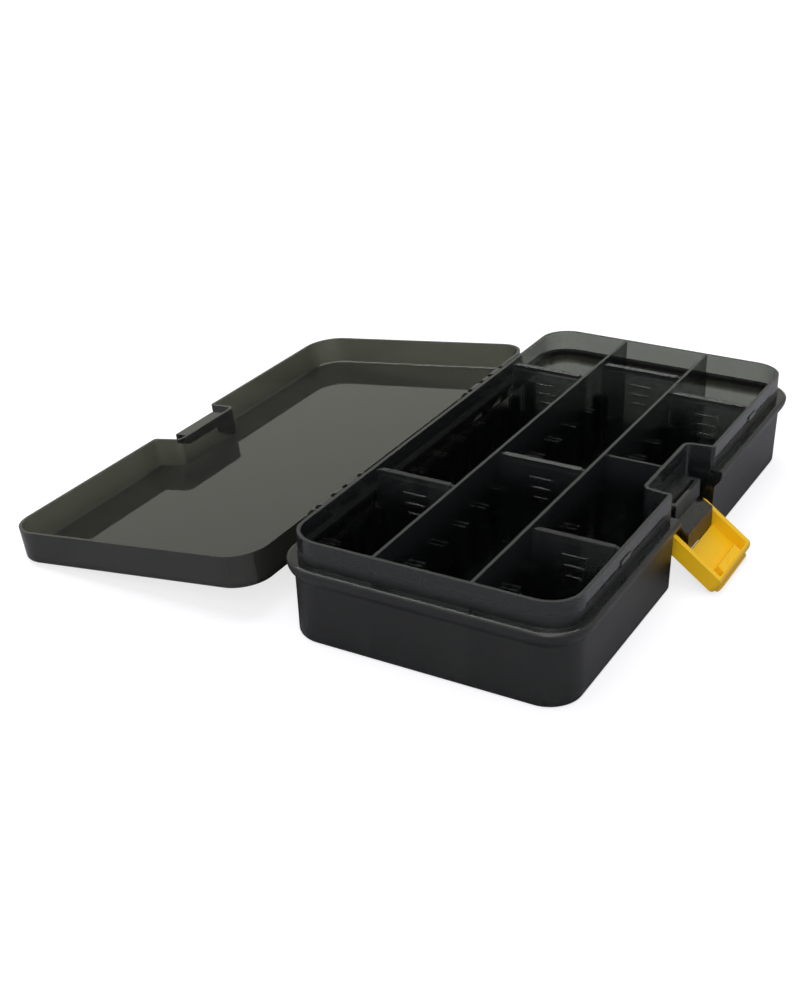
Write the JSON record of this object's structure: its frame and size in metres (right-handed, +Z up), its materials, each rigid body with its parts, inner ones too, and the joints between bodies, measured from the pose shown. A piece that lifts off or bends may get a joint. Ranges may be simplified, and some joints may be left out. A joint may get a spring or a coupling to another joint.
{
  "type": "hinged tackle box",
  "caption": "Flat rectangular storage box with three lanes of lift-out dividers, a hinged lid laid open and a front latch in a notch.",
  "frame": {"origin": "centre of the tray's flat underside", "axes": "+X along the box's length to the right, -Y towards the latch, +Y towards the hinges, +Z up"},
  "size_m": [0.3088, 0.3343, 0.053],
  "materials": {
    "tray": "smoke-tinted moulded plastic",
    "lid": "lighter smoke-tinted moulded plastic",
    "latch": "opaque yellow moulded plastic",
    "divider": "smoke-tinted moulded plastic"
  },
  "bodies": {
    "tray": {"tray": "tray"},
    "lid": {"lid": "lid"},
    "latch": {"latch": "latch"},
    "divider_back_left": {"divider_back_left": "divider"},
    "divider_back_right": {"divider_back_right": "divider"},
    "divider_middle_left": {"divider_middle_left": "divider"},
    "divider_middle_right": {"divider_middle_right": "divider"},
    "divider_front_left": {"divider_front_left": "divider"},
    "divider_front_right": {"divider_front_right": "divider"}
  },
  "joints": [
    {"name": "lid_hinge", "type": "hinge", "parent": "tray", "child": "lid", "pos_m": [0, 0.08235, 0.03955], "axis": [-1, 0, 0], "range_deg": [-187.8, 0]},
    {"name": "latch_hinge", "type": "hinge", "parent": "tray", "child": "latch", "pos_m": [0, -0.0683, 0.0223], "axis": [1, 0, 0], "range_deg": [-126.5, 0]},
    {"name": "lift_back_left", "type": "slide", "parent": "tray", "child": "divider_back_left", "axis": [0, 0, 1], "range_m": [0, 0.055]},
    {"name": "lift_back_right", "type": "slide", "parent": "tray", "child": "divider_back_right", "axis": [0, 0, 1], "range_m": [0, 0.055]},
    {"name": "lift_middle_left", "type": "slide", "parent": "tray", "child": "divider_middle_left", "axis": [0, 0, 1], "range_m": [0, 0.055]},
    {"name": "lift_middle_right", "type": "slide", "parent": "tray", "child": "divider_middle_right", "axis": [0, 0, 1], "range_m": [0, 0.055]},
    {"name": "lift_front_left", "type": "slide", "parent": "tray", "child": "divider_front_left", "axis": [0, 0, 1], "range_m": [0, 0.055]},
    {"name": "lift_front_right", "type": "slide", "parent": "tray", "child": "divider_front_right", "axis": [0, 0, 1], "range_m": [0, 0.055]}
  ]
}
